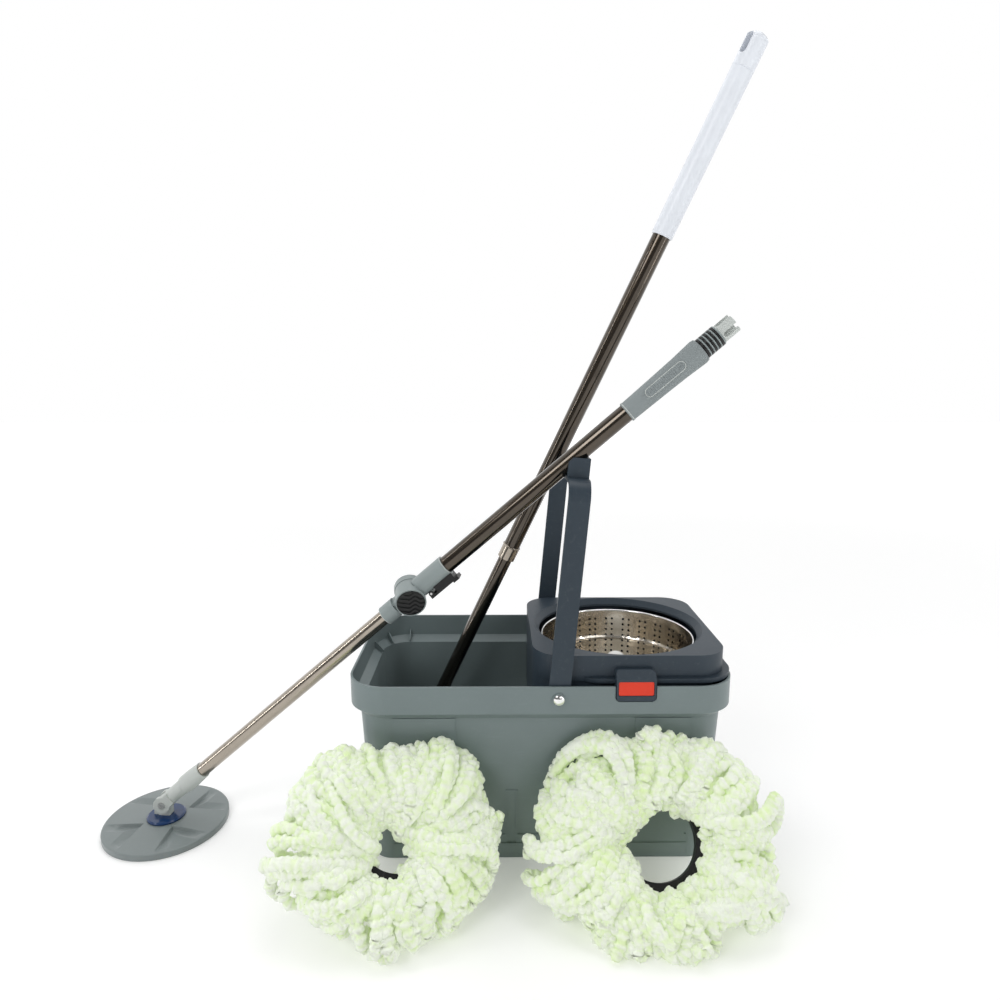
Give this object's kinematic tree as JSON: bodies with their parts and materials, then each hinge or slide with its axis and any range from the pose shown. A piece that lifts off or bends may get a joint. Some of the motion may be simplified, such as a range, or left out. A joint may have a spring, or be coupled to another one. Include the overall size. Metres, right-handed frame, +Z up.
{
  "type": "spin mop and bucket set",
  "caption": "Spin mop set: a rectangular bucket with a lift-out spinner and bail, two leaning poles, a swivel mop head and chenille refills.",
  "frame": {"origin": "centre of the bucket's flat base, on the floor", "axes": "+X right along the bucket's long side, towards the spinner; +Y to the back; +Z up"},
  "size_m": [0.8514, 0.4193, 0.9905],
  "materials": {
    "bucket_grey": "satin moulded plastic",
    "slate": "satin moulded plastic",
    "latch_red": "gloss moulded plastic",
    "bright_steel": "polished",
    "basket_steel": "polished perforated sheet",
    "hub_white": "gloss moulded plastic",
    "dark_tube": "dark bronze plated tube",
    "grip_white": "satin moulded plastic",
    "joint_grey": "satin moulded plastic",
    "grip_rubber": "soft matt",
    "black": "gloss moulded plastic",
    "pale_plastic": "satin moulded plastic",
    "hub_blue": "gloss moulded plastic",
    "disc_grey": "satin moulded plastic",
    "steel": "turned",
    "chenille": "looped microfibre pile"
  },
  "bodies": {
    "bucket": {"tub": "bucket_grey", "pivot_front": "bright_steel", "pivot_back": "bright_steel"},
    "bail": {"bail_handle": "slate"},
    "spinner": {"housing": "slate", "spindle": "steel", "latch_frame": "slate"},
    "latch": {"latch_button": "latch_red"},
    "basket": {"basket_shell": "basket_steel", "basket_rim": "bright_steel", "basket_hub": "hub_white"},
    "upper_low": {"up_ferrule": "joint_grey", "up_thin_tube": "dark_tube"},
    "upper_high": {"up_outer_tube": "dark_tube", "up_collar": "bright_steel", "up_bush": "pale_plastic", "up_grip": "grip_white", "up_cap": "grip_white"},
    "lower_high": {"lp_outer_tube": "dark_tube", "lp_grip": "grip_rubber", "lp_ribbed_collar": "black", "lp_spigot": "pale_plastic", "knuckle_housing": "joint_grey", "knuckle_axle": "steel", "lever_pin": "steel"},
    "button": {"knuckle_button": "black"},
    "lever": {"clamp_lever": "black"},
    "lower_low": {"knuckle_tongue": "joint_grey", "lp_thin_tube": "dark_tube", "lp_socket": "pale_plastic"},
    "yoke": {"swivel_yoke": "pale_plastic", "yoke_screw": "steel"},
    "hub": {"hub_lug": "pale_plastic", "hub_plate": "hub_blue"},
    "disc": {"mop_disc": "disc_grey"},
    "refill_a": {"ring_a": "black", "ring_back_a": "black", "strands_a": "chenille"},
    "refill_b": {"ring_b": "black", "ring_back_b": "black", "strands_b": "chenille"}
  },
  "joints": [
    {"name": "bail_swing", "type": "hinge", "parent": "bucket", "child": "bail", "pos_m": [0.0196, 0, 0.2275], "axis": [0, -1, 0], "range_deg": [-45, 0]},
    {"name": "spinner_lift", "type": "slide", "parent": "bucket", "child": "spinner", "axis": [0, 0, 1], "range_m": [0, 0.11]},
    {"name": "latch_press", "type": "slide", "parent": "spinner", "child": "latch", "axis": [0, 1, 0], "range_m": [0, 0.002], "stiffness_N_per_m": 600},
    {"name": "basket_spin", "type": "hinge", "parent": "spinner", "child": "basket", "pos_m": [0.1105, 0, 0.17], "axis": [0, 0, 1], "continuous": true},
    {"name": "upper_pole_lift", "type": "slide", "parent": "bucket", "child": "upper_low", "axis": [0.4071, -0.1314, 0.9039], "range_m": [0, 0.2]},
    {"name": "upper_pole_length", "type": "slide", "parent": "upper_low", "child": "upper_high", "axis": [0.4071, -0.1314, 0.9039], "range_m": [-0.22, 0]},
    {"name": "lower_pole_lift", "type": "slide", "parent": "bucket", "child": "lower_high", "axis": [0, 0, 1], "range_m": [0, 0.12]},
    {"name": "knuckle_press", "type": "slide", "parent": "lower_high", "child": "button", "axis": [-0.1673, 0.9446, 0.2824], "range_m": [0, 0.002], "stiffness_N_per_m": 600},
    {"name": "clamp_open", "type": "hinge", "parent": "lower_high", "child": "lever", "pos_m": [-0.137, -0.06584, 0.34252], "axis": [0.0841, 0.9965, 0], "range_deg": [0, 55]},
    {"name": "knuckle_fold", "type": "hinge", "parent": "lower_high", "child": "lower_low", "pos_m": [-0.16573, -0.06342, 0.33755], "axis": [-0.1673, 0.9446, 0.2824], "range_deg": [0, 90]},
    {"name": "yoke_swivel", "type": "hinge", "parent": "lower_low", "child": "yoke", "pos_m": [-0.48424, -0.03654, 0.05898], "axis": [0.7512, -0.0634, 0.657], "continuous": true},
    {"name": "head_tilt", "type": "hinge", "parent": "yoke", "child": "hub", "pos_m": [-0.51429, -0.034, 0.0327], "axis": [0.0841, 0.9965, 0], "range_deg": [-25, 48]},
    {"name": "disc_spin", "type": "hinge", "parent": "hub", "child": "disc", "pos_m": [-0.51429, -0.034, 0.006], "axis": [0, 0, 1], "continuous": true},
    {"name": "refill_a_pull", "type": "slide", "parent": "bucket", "child": "refill_a", "axis": [0, -1, 0], "range_m": [0, 0.15]},
    {"name": "refill_b_pull", "type": "slide", "parent": "bucket", "child": "refill_b", "axis": [0, -1, 0], "range_m": [0, 0.15]}
  ]
}
